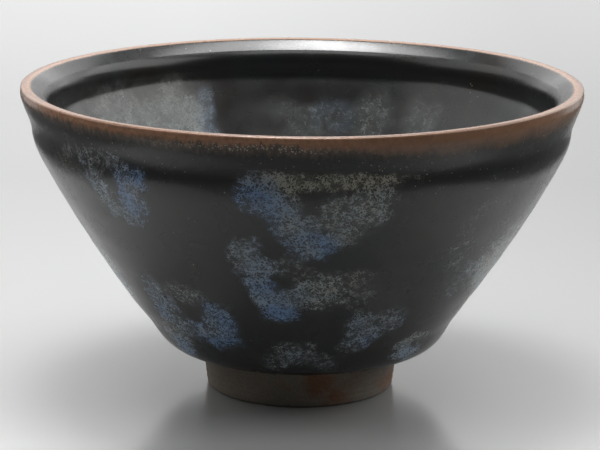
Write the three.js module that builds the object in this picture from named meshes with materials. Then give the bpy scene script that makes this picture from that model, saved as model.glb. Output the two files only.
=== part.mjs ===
// A hand-thrown tenmoku tea bowl: one fired stoneware body with a turned foot ring, and the iron glaze
// fused over it in three coats. The outer coat ends in a bead above the bare foot, the inner coat pools in
// the well, and a thin brown coat lies over the lip between them.
// Millimetres, +Z up. The origin is the centre of the foot ring's bearing face.
import * as THREE from "three";

// The finished bowl
const mouthDiameter = 125;
const bowlHeight = 69.6;
const roundSides = 48;

// The foot ring and the recess turned under it
const footDiameter = 42.4;
const footHeight = 10.3;
const footLean = 1.1;
const footRounding = 1.2;
const footRingWidth = 4.4;
const recessDepth = 5.6;
const recessLean = 0.6;
const recessFillet = 1.2;
const centreNubHeight = 0.8;
const centreNubRadius = 4.5;

// The outer wall: from the hip above the foot, up the cone, to the pinched neck
const hipDiameter = 69;
const hipHeight = 16.4;
const hipUndersideReach = 7.2;
const hipUndersideRise = 0.6;
const hipTurnHeight = 4.6;
const hipTurnWidth = 2.6;
const wallTopDrop = 15.4;
const wallTopInset = 4.1;
const wallBow = 1.05;
const neckDrop = 9.9;
const neckInset = 2.45;
const neckEase = 1.7;

// The lip, with its drops and insets taken from the crest's height and the mouth's radius
const outerBandDrop = 3.3;
const outerBandInset = 0.42;
const outermostDrop = 1.6;
const crestInset = 1.2;
const lipThickness = 2.35;
const lipShoulderDrop = 1.1;
const innerBandDrop = 2.5;
const innerBandInset = 2.8;

// The inner wall: under the lip, over the ridge behind the neck, down the cone and into the well
const ridgeDrop = 8;
const ridgeEase = 1.9;
const neckWallThickness = 2.8;
const innerWallTopDrop = 14.4;
const upperWallThickness = 3.2;
const innerWallBow = 1.4;
const hipWallThickness = 8;
const wellDepth = 5.6;
const wellFlatShare = 0.42;
const floorThickness = 6.4;

// The glaze: it ran down in the kiln, so it is thin at the lip and thick at the hip and in the well
const lipCoat = 0.5;
const upperCoat = 0.7;
const hipCoat = 1.25;
const poolDepth = 1.3;
const beadWidth = 1.1;
const fuseGap = 0.1;

// Where the outer coat's edge has run further down the foot: azimuth and half width as shares of a turn,
// and length as a share of the longest run
const longestRun = 1.4;
const runWidth = 2.6;
const runShares = [
  { azimuth: 0.12, halfWidth: 0.06, length: 0.55 },
  { azimuth: 0.36, halfWidth: 0.05, length: 0.8 },
  { azimuth: 0.57, halfWidth: 0.075, length: 0.95 },
  { azimuth: 0.773, halfWidth: 0.05, length: 1 },
  { azimuth: 0.94, halfWidth: 0.075, length: 0.9 },
];

// Steps along the outline's curves
const longCurveSteps = 6;
const shortCurveSteps = 3;

const mouthRadius = mouthDiameter / 2;
const footRadius = footDiameter / 2;
const footTopRadius = footRadius + footLean;
const wellRadius = hipDiameter / 2 - hipWallThickness;
const at = (radius, height) => new THREE.Vector2(radius, height);
const fromLip = (inset, drop) => at(mouthRadius - inset, bowlHeight - drop);

// Points along a curve through its control points, without the first, which the outline already has
function curve(steps, ...points) {
  const Curve = points.length === 3 ? THREE.QuadraticBezierCurve : THREE.CubicBezierCurve;
  return new Curve(...points).getPoints(steps).slice(1);
}

// The control point of a curve from a to b that bows out to the right of the way from a to b
function bowed(a, b, bow) {
  const along = b.clone().sub(a).normalize();
  return a.clone().lerp(b, 0.5).add(at(along.y, -along.x).multiplyScalar(2 * bow));
}

// The outline of the finished bowl's outer face, from the glaze's edge on the foot up to the lip band
function outerFace() {
  const edge = at(footTopRadius + fuseGap, footHeight - hipCoat - fuseGap);
  const bead = at(edge.x + beadWidth, edge.y);
  const hip = at(hipDiameter / 2, hipHeight);
  const underside = at(bead.x + hipUndersideReach, bead.y + hipUndersideRise);
  const turn = at(hip.x - hipTurnWidth, hip.y - hipTurnHeight);
  const wallTop = fromLip(wallTopInset, wallTopDrop);
  const neck = fromLip(neckInset, neckDrop);
  const belly = bowed(hip, wallTop, wallBow);
  const shoulder = wallTop.clone().add(wallTop.clone().sub(belly).setLength(neckEase));
  const band = fromLip(outerBandInset, outerBandDrop + fuseGap);
  return [
    edge,
    bead,
    ...curve(longCurveSteps, bead, underside, turn, hip),
    ...curve(longCurveSteps, hip, belly, wallTop),
    ...curve(shortCurveSteps, wallTop, shoulder, at(neck.x, neck.y - neckEase), neck),
    ...curve(shortCurveSteps, neck, at(neck.x, neck.y + neckEase), band.clone().lerp(neck, 1 / 3), band),
  ];
}

// The outline over the lip, from the outer band's edge to the inner one's
function lipFace() {
  const start = fromLip(outerBandInset, outerBandDrop);
  const outermost = fromLip(0, outermostDrop);
  const crest = fromLip(crestInset, 0);
  const inside = fromLip(lipThickness, lipShoulderDrop);
  const end = fromLip(innerBandInset, innerBandDrop);
  return [
    start,
    outermost,
    ...curve(shortCurveSteps, outermost, at(outermost.x, crest.y), crest),
    ...curve(shortCurveSteps, crest, at(inside.x, crest.y), inside),
    end,
  ];
}

// The outline of the inner face, from the lip band down to the middle of the well
function innerFace() {
  const band = fromLip(innerBandInset, innerBandDrop + fuseGap);
  const ridge = fromLip(neckInset + neckWallThickness, ridgeDrop);
  const wallTop = fromLip(wallTopInset + upperWallThickness, innerWallTopDrop);
  const wellFloor = at(0, recessDepth + floorThickness);
  const wellRim = at(wellRadius, wellFloor.y + wellDepth);
  const belly = bowed(wallTop, wellRim, -innerWallBow);
  const wellTurn = wellRim.clone().add(wellRim.clone().sub(belly).setLength(wellDepth));
  const underBand = band.clone().lerp(ridge, 1 / 3);
  return [
    band,
    ...curve(shortCurveSteps, band, underBand, at(ridge.x, ridge.y + ridgeEase), ridge),
    ...curve(shortCurveSteps, ridge, at(ridge.x, ridge.y - ridgeEase), wallTop),
    ...curve(longCurveSteps, wallTop, belly, wellRim),
    ...curve(longCurveSteps, wellRim, wellTurn, at(wellRim.x * wellFlatShare, wellFloor.y), wellFloor),
  ];
}

// The face moved into the wall, to the left of its way, by a depth that may differ from point to point
function sunk(face, depthAt) {
  return face.map((p, i) => {
    const along = face[Math.min(i + 1, face.length - 1)].clone().sub(face[Math.max(i - 1, 0)]);
    if (p.x === 0) along.set(-1, 0);
    const into = at(-along.y, along.x).normalize();
    return p.clone().addScaledVector(into, depthAt(p));
  });
}

const outer = outerFace();
const lip = lipFace();
const inner = innerFace();

// Glaze thickness at a point of each face
function outerCoat(p) {
  const [low, high] = [outer[0].y, outer[outer.length - 1].y];
  return THREE.MathUtils.mapLinear(p.y, low, high, hipCoat, lipCoat);
}
function innerCoat(p) {
  const pooled = Math.max(0, 1 - p.x / wellRadius);
  const thinned = THREE.MathUtils.smoothstep(p.y, bowlHeight - ridgeDrop, inner[0].y);
  return upperCoat + poolDepth * pooled + (lipCoat - upperCoat) * thinned;
}
const overLip = () => lipCoat;
const clayUnder = (coat) => (p) => coat(p) + fuseGap;

// A solid of revolution about Z from an outline that keeps the material on its left
function turned(outline) {
  return new THREE.LatheGeometry(outline, roundSides).rotateX(Math.PI / 2);
}

// One coat of glaze: the face that shows, and behind it the face that is fused to the clay
function coatGeometry(face, coat) {
  const outline = [...sunk(face, coat).reverse(), ...face];
  if (outline[0].x > 0) outline.push(outline[0].clone());
  return turned(outline);
}

// How far the outer coat's edge has run down at an azimuth, which is a share of a turn
function runAt(azimuth) {
  return runShares.reduce((sum, run) => {
    const away = Math.abs(((azimuth - run.azimuth + 1.5) % 1) - 0.5) / run.halfWidth;
    return sum + (away < 1 ? longestRun * run.length * Math.cos((away * Math.PI) / 2) ** 2 : 0);
  }, 0);
}

// The outer coat, with the showing face beside the foot lowered where the glaze ran
function outerGlazeGeometry() {
  const geometry = coatGeometry(outer, outerCoat);
  const [edge, bead] = outer;
  const position = geometry.getAttribute("position");
  for (let i = 0; i < position.count; i++) {
    const [x, y, z] = [position.getX(i), position.getY(i), position.getZ(i)];
    const beside = 1 - THREE.MathUtils.smoothstep(Math.hypot(x, y), bead.x, bead.x + runWidth);
    const showing = 1 - THREE.MathUtils.smoothstep(z, edge.y, edge.y + hipCoat);
    position.setZ(i, z - runAt(Math.atan2(y, x) / (2 * Math.PI)) * beside * showing);
  }
  return geometry;
}

function clayBodyGeometry() {
  const ringOuterRadius = footRadius - footRounding;
  const ringInnerRadius = ringOuterRadius - footRingWidth;
  const recessTopRadius = ringInnerRadius - recessLean;
  const foot = [
    at(0, recessDepth - centreNubHeight),
    at(centreNubRadius, recessDepth),
    at(recessTopRadius - recessFillet, recessDepth),
    at(recessTopRadius, recessDepth - recessFillet),
    at(ringInnerRadius, 0),
    at(ringOuterRadius, 0),
    ...curve(shortCurveSteps, at(ringOuterRadius, 0), at(footRadius, 0), at(footRadius, footRounding)),
    at(footTopRadius, footHeight),
  ];
  return turned([
    ...foot,
    ...sunk(outer, clayUnder(outerCoat)),
    ...sunk(lip, clayUnder(overLip)),
    ...sunk(inner, clayUnder(innerCoat)),
  ]);
}

const stoneware = new THREE.MeshStandardMaterial({ color: 0x4a3b32, roughness: 0.85, metalness: 0 });
const ironGlaze = new THREE.MeshStandardMaterial({ color: 0x17181a, roughness: 0.22, metalness: 0 });
const brownGlaze = new THREE.MeshStandardMaterial({ color: 0x6b4530, roughness: 0.35, metalness: 0 });

const bowl = new THREE.Group();
function add(name, geometry, material) {
  const mesh = new THREE.Mesh(geometry, material);
  mesh.name = name;
  bowl.add(mesh);
}
add("clay_body", clayBodyGeometry(), stoneware);
add("outer_glaze", outerGlazeGeometry(), ironGlaze);
add("lip_glaze", coatGeometry(lip, overLip), brownGlaze);
add("inner_glaze", coatGeometry(inner, innerCoat), ironGlaze);

export default bowl;
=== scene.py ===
# %% [markdown]
# # A tenmoku tea bowl
#
# This lesson dresses a plain solid model of a tea bowl so that it looks like the real thing: a conical
# stoneware bowl, thrown on a wheel, dipped in an iron glaze that fires black and runs, with blue-grey
# splashes that were dabbed on before the firing. We build the surfaces from curves, bend them a little as
# a potter's hands do, paint where the splashes lie, and then make three finishes from shader nodes.
#
# The solid model comes first. It fixes where everything is, in metres, with +Z up and the bowl's axis on
# the Z axis. We keep its bounding box, which gives the mouth's width and the bowl's height.

import math

import bpy
import numpy as np
from mathutils import Euler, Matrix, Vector


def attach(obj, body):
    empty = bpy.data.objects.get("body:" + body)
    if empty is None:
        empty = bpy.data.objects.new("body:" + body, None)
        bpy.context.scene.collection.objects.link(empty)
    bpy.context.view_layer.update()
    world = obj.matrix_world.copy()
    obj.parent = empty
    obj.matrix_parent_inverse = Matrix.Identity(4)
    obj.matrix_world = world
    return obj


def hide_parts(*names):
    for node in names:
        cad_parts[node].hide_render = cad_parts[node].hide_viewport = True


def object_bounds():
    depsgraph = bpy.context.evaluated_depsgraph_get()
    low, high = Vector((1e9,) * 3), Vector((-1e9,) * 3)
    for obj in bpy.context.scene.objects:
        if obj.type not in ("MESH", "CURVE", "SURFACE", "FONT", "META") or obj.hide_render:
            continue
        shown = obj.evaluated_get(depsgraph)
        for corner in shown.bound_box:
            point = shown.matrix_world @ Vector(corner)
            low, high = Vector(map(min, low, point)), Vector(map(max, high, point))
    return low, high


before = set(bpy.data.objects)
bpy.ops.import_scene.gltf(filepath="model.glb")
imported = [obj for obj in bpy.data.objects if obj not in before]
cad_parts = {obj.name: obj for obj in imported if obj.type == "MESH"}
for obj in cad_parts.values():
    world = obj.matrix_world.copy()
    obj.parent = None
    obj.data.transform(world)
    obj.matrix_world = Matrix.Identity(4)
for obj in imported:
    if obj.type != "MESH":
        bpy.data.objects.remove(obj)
cad_box = [list(corner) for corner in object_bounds()]
MM = 0.001
mouth_radius = (cad_box[1][0] - cad_box[0][0]) / 2 / MM
bowl_height = (cad_box[1][2] - cad_box[0][2]) / MM
print(f"mouth {2 * mouth_radius:.1f} mm across, {bowl_height:.1f} mm high")

# %% [markdown]
# ## The camera
#
# A product photographer stands well back with a long lens, so that the bowl isn't distorted, and looks down
# on it a little, so that the inside shows. The camera here stands 55 cm in front of the bowl and 17 cm up,
# and a lens of 150 mm fills the frame from there. It could be aimed by eye, but then the mouth's ellipse
# would be too open or too flat, so its place and its tilt are set in numbers.

# %% Camera
# Millimetres to the right, back and up, then degrees downward and degrees of tilt.
CAMERA_PLACE = (-0.16, -549.5, 168.1)
CAMERA_PITCH = 13.45
CAMERA_ROLL = 0.5
FOCAL_LENGTH = 149.8
SENSOR_WIDTH = 36

camera_data = bpy.data.cameras.new("camera")
camera_data.lens = FOCAL_LENGTH
camera_data.sensor_width = SENSOR_WIDTH
camera = bpy.data.objects.new("camera", camera_data)
camera.location = Vector(CAMERA_PLACE) * MM
camera.rotation_euler = (
    Euler((math.radians(90 - CAMERA_PITCH), 0, 0)).to_matrix()
    @ Euler((0, 0, math.radians(CAMERA_ROLL))).to_matrix()
).to_euler()
bpy.context.scene.collection.objects.link(camera)
bpy.context.scene.camera = camera
bpy.context.scene.view_settings.view_transform = "Standard"
print(f"camera {camera.location.length / MM:.0f} mm from the foot")

# %% [markdown]
# ## Two helpers for materials
#
# Paint charts and image programs give colours as sRGB hex values, but the renderer adds up light, so it
# needs linear numbers. One function turns the first into the second, and every colour in this lesson goes
# through it. A second function adds a shader node, sets it up and links its inputs, so that each material
# reads as a short list of nodes.
#
# Some nodes have several inputs of one name, so we give those by number. In a Map Range node, 0 is the
# value, 1 and 2 are the range it comes from, and 3 and 4 the range it goes to, which is 0 to 1 if we don't
# say. In a Mix node for colours, 0 is the share of the second colour, and 6 and 7 are the two colours.

# %% Colour and node helpers
def colour(hex_value):
    """A linear RGBA colour from an sRGB hex value such as "#8a6a50"."""
    srgb = [int(hex_value[i : i + 2], 16) / 255 for i in (1, 3, 5)]
    return [c / 12.92 if c <= 0.04045 else ((c + 0.055) / 1.055) ** 2.4 for c in srgb] + [1]


def add(tree, kind, inputs=(), **settings):
    """A new shader node. inputs gives each socket, by name or number, its value, or what links to it."""
    node = tree.nodes.new("ShaderNode" + kind)
    for name, value in settings.items():
        setattr(node, name, value)
    for name, value in dict(inputs).items():
        if isinstance(value, bpy.types.Node):
            value = next(output for output in value.outputs if output.enabled)
        if isinstance(value, bpy.types.NodeSocket):
            tree.links.new(value, node.inputs[name])
        else:
            node.inputs[name].default_value = value
    return node


def new_material(name):
    """A material with one Principled BSDF: (material, its tree, the shader)."""
    material = bpy.data.materials.new(name)
    material.use_nodes = True
    return material, material.node_tree, material.node_tree.nodes["Principled BSDF"]


print("black", [round(c, 4) for c in colour("#1a1917")])

# %% [markdown]
# ## The tabletop
#
# The bowl stands on a pale satin tabletop that runs up out of the picture. A plane of one colour would do
# for a matte pot, but here the tabletop's gloss and tone both show. The gloss mirrors the dark underside of
# the bowl softly, just in front of the foot. The tone holds painted light and shade: it is painted lighter
# and darker from front to back and from left to right, as light falls on a real table at the edge of the
# light.
#
# A black glaze is a mirror too, and the lower part of the wall shows what lies before the bowl. So the near
# end of the tabletop is narrow and lies close before the bowl, and the dark room beyond it keeps the wall
# black.

# %% Tabletop
# Half its width and its place in depth, at the near end and at the far end, in metres.
TABLE_ENDS = ((0.108, -0.095), (0.3, 1.7))
TABLE_ROUGHNESS = 0.2
# Where its tones begin and end in depth, in metres, and the tones, with painted light and shade in them, by
# their share of that way.
TONE_SPAN = (-0.1, 0.65)
PAPER_TONES_WITH_PAINTED_LIGHT = (
    (0.01, "#8a8b8a"), (0.07, "#b0b1b0"), (0.2, "#a1a2a1"),
    (0.42, "#959695"), (0.6, "#9b9c9b"), (1.0, "#bababa"),
)
# Where the left ends and the right begins, in metres, and the factor for the tones on each: painted light,
# lighter on the left and darker on the right.
SIDE_SPAN = (-0.05, 0.1)
SIDE_PAINTED_LIGHT = (1.15, 0.86)

# The colour is a pale grey with painted light and shade: the ramp in depth and the factor across stand in for
# how the studio's light falls on the table.
tabletop, tree, shader = new_material("satin_tabletop")
place = add(tree, "SeparateXYZ", {0: add(tree, "TexCoord").outputs["Object"]})
away = add(tree, "MapRange", {0: place.outputs["Y"], 1: TONE_SPAN[0], 2: TONE_SPAN[1]})
paper_with_painted_light = add(tree, "ValToRGB", {0: away})
for _ in PAPER_TONES_WITH_PAINTED_LIGHT[2:]:
    paper_with_painted_light.color_ramp.elements.new(0.5)
for stop, (share, tone) in zip(paper_with_painted_light.color_ramp.elements, PAPER_TONES_WITH_PAINTED_LIGHT):
    stop.position = share
    stop.color = colour(tone)
across = add(tree, "MapRange", {
    0: place.outputs["X"], 1: SIDE_SPAN[0], 2: SIDE_SPAN[1], 3: SIDE_PAINTED_LIGHT[0], 4: SIDE_PAINTED_LIGHT[1],
})
paper_with_painted_light = add(tree, "VectorMath", {0: paper_with_painted_light.outputs["Color"], "Scale": across}, operation="SCALE")
tree.links.new(paper_with_painted_light.outputs[0], shader.inputs["Base Color"])
shader.inputs["Roughness"].default_value = TABLE_ROUGHNESS
table_mesh = bpy.data.meshes.new("tabletop")
(near_half, near), (far_half, far) = TABLE_ENDS
corners = [(-near_half, near, 0), (near_half, near, 0), (far_half, far, 0), (-far_half, far, 0)]
table_mesh.from_pydata(corners, [], [(0, 1, 2, 3)])
table_mesh.materials.append(tabletop)
table = bpy.data.objects.new("tabletop", table_mesh)
bpy.context.scene.collection.objects.link(table)
print(f"tabletop {far - near:.2f} m deep, {2 * near_half:.2f} m wide at its near end")

# %% [markdown]
# ## The light
#
# A dark glossy glaze shows its surroundings more than its own colour, so the light is a tent of soft panels,
# as photographers use for black ware. One picture of a studio, wrapped round the scene, would be quicker, but
# each panel can be moved or dimmed on its own. A broad soft box overhead, with a brighter core, draws the
# line of light along the lip and the shine under the far side of the lip. A weaker panel further forward
# lifts the upper wall. Panels on both sides give the glow along the flanks of the cone and on the inside,
# and weak ones at the corners and at the back lead it on round the bowl. Nothing bright stands in front,
# where the camera is, which is what keeps the middle of the wall and of the inside black.

# %% Lamps
# Each lamp: its place in metres, its width and height in metres, and its brightness as a surface, where a
# white sheet of paper in plain light is 1.
LAMPS = {
    "ceiling_softbox": {"place": (0.0, 0.13, 1.0), "size": (1.1, 0.42), "brightness": 6.6},
    "bright_core": {"place": (-0.06, 0.12, 0.98), "size": (0.3, 0.3), "brightness": 15},
    "top_front_panel": {"place": (-0.05, -0.38, 1.0), "size": (1.0, 0.3), "brightness": 2.1},
    "right_panel": {"place": (0.82, 0.1, 0.6), "size": (1.15, 0.6), "brightness": 1.95},
    "left_panel": {"place": (-0.82, 0.1, 0.6), "size": (1.15, 0.6), "brightness": 1.0},
    "right_corner_panel": {"place": (0.66, 0.76, 0.28), "size": (0.45, 0.9), "brightness": 0.95},
    "left_corner_panel": {"place": (-0.66, 0.76, 0.28), "size": (0.45, 0.9), "brightness": 0.65},
    "back_panel": {"place": (0, 0.85, 0.57), "size": (1.0, 0.5), "brightness": 1.6},
    "backdrop": {"place": (0, 1.8, 0.4), "size": (4.0, 0.8), "brightness": 0.85},
}
# All lamps point at the middle of the bowl.
AIM = Vector((0, 0, bowl_height / 2 * MM))

for name, lamp in LAMPS.items():
    width, height = lamp["size"]
    light = bpy.data.lights.new(name, "AREA")
    light.shape = "RECTANGLE"
    light.size, light.size_y = width, height
    light.energy = lamp["brightness"] * math.pi * width * height
    holder = bpy.data.objects.new(name, light)
    holder.location = lamp["place"]
    holder.rotation_euler = (AIM - holder.location).to_track_quat("-Z", "Y").to_euler()
    holder.visible_camera = False
    # The world shows the backdrop to reflections, so its lamp only gives light.
    holder.visible_glossy = name != "backdrop"
    bpy.context.scene.collection.objects.link(holder)
    print(f"{name} {light.energy:.1f} W")

# %% [markdown]
# ## The air around
#
# Beyond the lamps the room is dark at lamp height and grey below the table. Where the camera looks past
# the tabletop, it sees a pale backdrop instead. Reflections see the backdrop too, but only where it stands:
# behind the bowl, from the level of the tabletop up to 23 degrees. It could be a sheet with a lamp on it,
# but in the world's shader it never throws a shadow or hides a lamp when the camera moves round.

# %% The air around
AIR_BRIGHTNESS = 0.01
GROUND_BRIGHTNESS = 0.28
BACKDROP_TONE = "#ededee"
# How far up a direction points: 1 is straight up, 0 is level and -1 is straight down.
DARK_FROM, GROUND_AT = 0.25, -0.9
BACKDROP_FOOT = (-0.02, 0.0)
BACKDROP_TOP = (0.37, 0.41)
# How far back it points, from the backdrop's sides inward.
BACKDROP_SIDES = (0.6, 0.72)

world = bpy.data.worlds.new("studio_air")
bpy.context.scene.world = world
world.use_nodes = True
tree = world.node_tree
direction = add(tree, "SeparateXYZ", {0: add(tree, "TexCoord").outputs["Generated"]})
upward = direction.outputs["Z"]
strength = add(tree, "MapRange", {
    0: upward, 1: DARK_FROM, 2: GROUND_AT, 3: AIR_BRIGHTNESS, 4: GROUND_BRIGHTNESS,
})
behind = add(tree, "MapRange", {0: direction.outputs["Y"], 1: BACKDROP_SIDES[0], 2: BACKDROP_SIDES[1]})
from_table = add(tree, "MapRange", {0: upward, 1: BACKDROP_FOOT[0], 2: BACKDROP_FOOT[1]})
up_to_top = add(tree, "MapRange", {0: upward, 1: BACKDROP_TOP[0], 2: BACKDROP_TOP[1], 3: 1.0, 4: 0.0})
mirrored = add(tree, "Math", {0: from_table, 1: up_to_top}, operation="MULTIPLY")
mirrored = add(tree, "Math", {0: mirrored, 1: behind}, operation="MULTIPLY")
light_path = add(tree, "LightPath")
shiny = add(
    tree, "Math", {0: light_path.outputs["Is Glossy Ray"], 1: light_path.outputs["Is Transmission Ray"]},
    operation="MAXIMUM",
)
shiny = add(tree, "Math", {0: shiny, 1: mirrored}, operation="MULTIPLY")
seen_share = add(tree, "Math", {0: light_path.outputs["Is Camera Ray"], 1: shiny}, operation="MAXIMUM")
air = add(tree, "Background", {"Color": colour("#ffffff"), "Strength": strength})
backdrop = add(tree, "Background", {"Color": colour(BACKDROP_TONE), "Strength": 1})
seen_air = add(tree, "MixShader", {0: seen_share, 1: air.outputs[0], 2: backdrop.outputs[0]})
tree.links.new(seen_air.outputs[0], tree.nodes["World Output"].inputs["Surface"])
print(f"the backdrop reaches {math.degrees(math.asin(sum(BACKDROP_TOP) / 2)):.0f} degrees up")

# %% [markdown]
# ## The bowl's outline
#
# A thrown pot is a solid of revolution, so all of its shape is in one outline. We draw the outline as Bezier
# curves through a few measured points, with radius across and height up, in millimetres. From the foot it
# goes out under the hip, up the cone, in at the neck, out to the lip, over it and down the inside. The wall
# could be sculpted instead, but then it would have to be made round again at every step.
#
# A Bezier curve with any number of control points can be drawn by repeated averaging: we take the point this
# share of the way between each two neighbours, then between those points, until one is left. We then space
# the points evenly, so that the mesh has even faces.

# %% Curve helpers
def point(radius, height):
    """A point of the outline."""
    return np.array((radius, height), float)


def bezier(*controls, steps=40):
    """Points along the Bezier curve with these control points."""
    share = np.linspace(0, 1, steps + 1)[:, None]
    rows = [np.tile(c, (steps + 1, 1)) for c in controls]
    while len(rows) > 1:
        rows = [a + (b - a) * share for a, b in zip(rows, rows[1:])]
    return rows[0]


def bowed(a, b, bow):
    """The control point of a curve from a to b that bows out to the right of its way."""
    along = (b - a) / np.linalg.norm(b - a)
    return (a + b) / 2 + 2 * bow * point(along[1], -along[0])


def onward(a, b, length):
    """The point this far past b, on the straight way from a through b."""
    return b + (b - a) * length / np.linalg.norm(b - a)


def even(outline, pitch):
    """The outline with its points about one pitch apart."""
    outline = outline[np.r_[True, np.linalg.norm(np.diff(outline, axis=0), axis=1) > 1e-6]]
    length = np.r_[0, np.cumsum(np.linalg.norm(np.diff(outline, axis=0), axis=1))]
    stops = np.linspace(0, length[-1], max(2, round(length[-1] / pitch) + 1))
    return np.column_stack([np.interp(stops, length, column) for column in outline.T])


print("halfway along a test curve", bezier(point(0, 0), point(1, 2), point(2, 0))[20])

# %% Sizes of the outer wall
# All in millimetres. The same sizes shape the solid model.
FOOT_RADIUS = 21.2
FOOT_TOP_RADIUS = 22.3
FOOT_HEIGHT = 10.3
FOOT_ROUNDING = 1.2
HIP_COAT = 1.25
BEAD_WIDTH = 1.1
FUSE_GAP = 0.1
HIP_RADIUS = 34.5
HIP_HEIGHT = 16.4

glaze_edge_height = FOOT_HEIGHT - HIP_COAT - FUSE_GAP


def from_lip(inset, drop):
    """The point this far in from the mouth's edge and this far below the crest."""
    return point(mouth_radius - inset, bowl_height - drop)


wall_top = from_lip(4.1, 15.4)
neck = from_lip(2.45, 9.9)
outer_band = from_lip(0.42, 3.35)
hip = point(HIP_RADIUS, HIP_HEIGHT)
bead = point(FOOT_TOP_RADIUS + FUSE_GAP + BEAD_WIDTH, glaze_edge_height)
belly = bowed(hip, wall_top, 1.05)

outer_face = np.vstack([
    bezier(point(FOOT_TOP_RADIUS + FUSE_GAP, glaze_edge_height + 0.6), bead - point(0.9, 0.15), bead),
    bezier(bead, bead + point(7.2, 0.6), hip - point(2.6, 4.6), hip),
    bezier(hip, belly, wall_top),
    bezier(wall_top, onward(belly, wall_top, 1.7), neck - point(0, 1.7), neck),
    bezier(neck, neck + point(0, 1.7), outer_band + (neck - outer_band) / 3, outer_band),
])
print(f"the glaze ends {glaze_edge_height:.2f} mm up the foot")

# %% Sizes of the lip and the inner wall
# The bevel inside the lip and the ridge behind the neck are fuller than in the solid model, because they
# follow the light that they mirror.
WELL_FLOOR_HEIGHT = 12.0
WELL_DEPTH = 5.6
WELL_RADIUS = 26.5
WELL_FLAT_RADIUS = 0.42 * WELL_RADIUS

crest = from_lip(0.9, 0)
lip_side = from_lip(0.1, 0.42)
outermost = from_lip(0, 1.6)
bevel = from_lip(2.45, 0.3)
inner_band = from_lip(5.1, 2.35)
slope_end = from_lip(6.5, 6.7)
ridge = from_lip(6.75, 8.1)
inner_wall_top = from_lip(7.5, 9.9)
well_floor = point(0, WELL_FLOOR_HEIGHT)
well_rim = point(WELL_RADIUS, WELL_FLOOR_HEIGHT + WELL_DEPTH)
inner_belly = bowed(inner_wall_top, well_rim, -1.4)

lip_face = np.vstack([
    bezier(outer_band, outer_band + point(0.2, 0.64), outermost - point(0, 0.6), outermost),
    bezier(outermost, outermost + point(0, 0.4), lip_side - point(-0.03, 0.35), lip_side),
    bezier(lip_side, lip_side + point(-0.03, 0.26), crest + point(0.4, 0), crest),
    bezier(crest, crest - point(0.7, 0), bevel),
    bezier(bevel, (bevel + inner_band) / 2 + point(0, 0.14), inner_band),
])
inner_face = np.vstack([
    bezier(inner_band, inner_band - point(1.0, 1.05), slope_end + point(0.2, 2.6), slope_end),
    bezier(slope_end, slope_end - point(0.14, 0.5), ridge + point(0.03, 0.5), ridge),
    bezier(ridge, ridge - point(0.03, 0.6), onward(inner_belly, inner_wall_top, 0.6), inner_wall_top),
    bezier(inner_wall_top, inner_belly, well_rim),
    bezier(well_rim, onward(inner_belly, well_rim, WELL_DEPTH), point(WELL_FLAT_RADIUS, WELL_FLOOR_HEIGHT),
           well_floor),
])
print(f"the wall is {(neck - ridge)[0]:.1f} mm thick at the neck")

# %% [markdown]
# ## The potter's hand
#
# A lathe would turn this outline into a perfect machine part, and it would look like one. A real bowl leans a
# little, its hip swells on one side, its rim dips, and the fingers leave shallow rings. We add these as small
# moves of every point. All the pieces go through the same function, so they still fit each other.
#
# For what has no rule, we use a wobble: the sum of a few waves in chosen-at-random directions, with a fixed
# seed, so that every run gives the same bowl.

# %% The wobble
def wobble(places, size, seed, waves=24):
    """A smooth random height between about -1 and 1 at each place, with bumps about this size across."""
    random = np.random.default_rng(seed)
    ways = random.normal(size=(waves, 3))
    ways *= (random.uniform(0.6, 1.5, waves) / size / np.linalg.norm(ways, axis=1))[:, None]
    starts = random.uniform(0, 1, waves)
    total = sum(np.cos(2 * np.pi * (places @ way / 2 + start)) for way, start in zip(ways, starts))
    return total * math.sqrt(2 / waves) / 2


def smooth_step(value, low, high):
    """0 below low, 1 above high, and a soft step between them."""
    share = np.clip((value - low) / (high - low), 0, 1)
    return share * share * (3 - 2 * share)


print("halfway up a soft step", smooth_step(0.5, 0, 1))

# %% The hand
# All in millimetres. The hip swells to the right and draws in to the left.
HIP_SWELL = 0.55
SWELL_HEIGHT = 13
SWELL_REACH = 5.5
# The fingers leave shallow rings, in one long spiral, and the wall is uneven between them.
RING_RELIEF = 0.045
RING_SPACING = 6.3
UNEVENNESS = 0.1
# The mouth is a little oval, and its rim dips.
OVAL = -0.1
RIM_DIP = 0.12
# How far the foot, the lower wall and the rim are off the axis, to the right.
FOOT_SHIFT = 0.45
LOWER_SHIFT = -0.35
RIM_SHIFT = 0.12
# Where changes fade, by radius: nothing spreads near the axis, and the foot doesn't swell with the hip.
OFF_AXIS = (6, 20)
OFF_FOOT = (23, 30)
# By height: the rings begin above the foot and end below the rim, and the wall is less even higher up.
RINGS_BEGIN = (9, 14)
RINGS_END = (bowl_height - 6, bowl_height - 2)
LESS_EVEN = (6, 30)
FOOT_SHIFT_ENDS = (8, 14)
LOWER_SHIFT_ENDS = (0, 40)


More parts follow.
